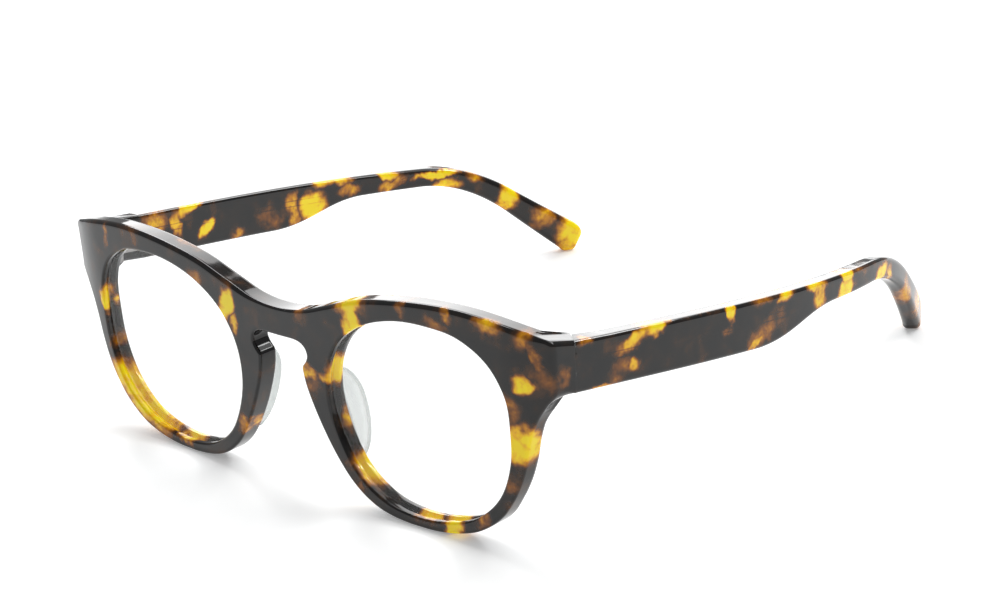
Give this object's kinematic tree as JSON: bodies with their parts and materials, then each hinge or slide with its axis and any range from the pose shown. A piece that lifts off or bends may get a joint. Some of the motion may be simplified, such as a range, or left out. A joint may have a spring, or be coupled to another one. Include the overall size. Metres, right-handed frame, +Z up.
{
  "type": "eyeglasses",
  "caption": "Folding acetate spectacles with a keyhole bridge, clear lenses, glued nose pads, barrel hinges and cored temples that bend down and inwards behind the ears.",
  "frame": {"origin": "middle of the object's box, on the surface that the opened spectacles rest on", "axes": "+X towards the wearer's left, +Y from the front towards the temple tips, +Z up"},
  "size_m": [0.148, 0.1408, 0.0479],
  "materials": {
    "tortoise_acetate": "polished tortoiseshell acetate, near black with amber and yellow patches",
    "clear_acetate": "polished clear acetate",
    "lens_plastic": "clear, polished",
    "hinge_metal": "satin nickel silver",
    "screw_metal": "polished",
    "wire_metal": "drawn wire"
  },
  "bodies": {
    "front": {"front_frame": "tortoise_acetate", "lens_left": "lens_plastic", "lens_right": "lens_plastic", "nose_pad_left": "clear_acetate", "nose_pad_right": "clear_acetate", "hinge_front_leaf_left": "hinge_metal", "hinge_front_leaf_right": "hinge_metal", "hinge_screw_left": "screw_metal", "hinge_screw_right": "screw_metal"},
    "temple_arm_left": {"temple_left": "tortoise_acetate", "hinge_temple_leaf_left": "hinge_metal", "core_wire_left": "wire_metal"},
    "temple_arm_right": {"temple_right": "tortoise_acetate", "hinge_temple_leaf_right": "hinge_metal", "core_wire_right": "wire_metal"}
  },
  "joints": [
    {"name": "fold_left", "type": "hinge", "parent": "front", "child": "temple_arm_left", "pos_m": [0.0655, -0.05953, 0.03725], "axis": [0, 0.1445, 0.9895], "range_deg": [0, 83]},
    {"name": "fold_right", "type": "hinge", "parent": "front", "child": "temple_arm_right", "pos_m": [-0.0655, -0.05953, 0.03725], "axis": [0, 0.1445, 0.9895], "range_deg": [-65, 0]}
  ]
}
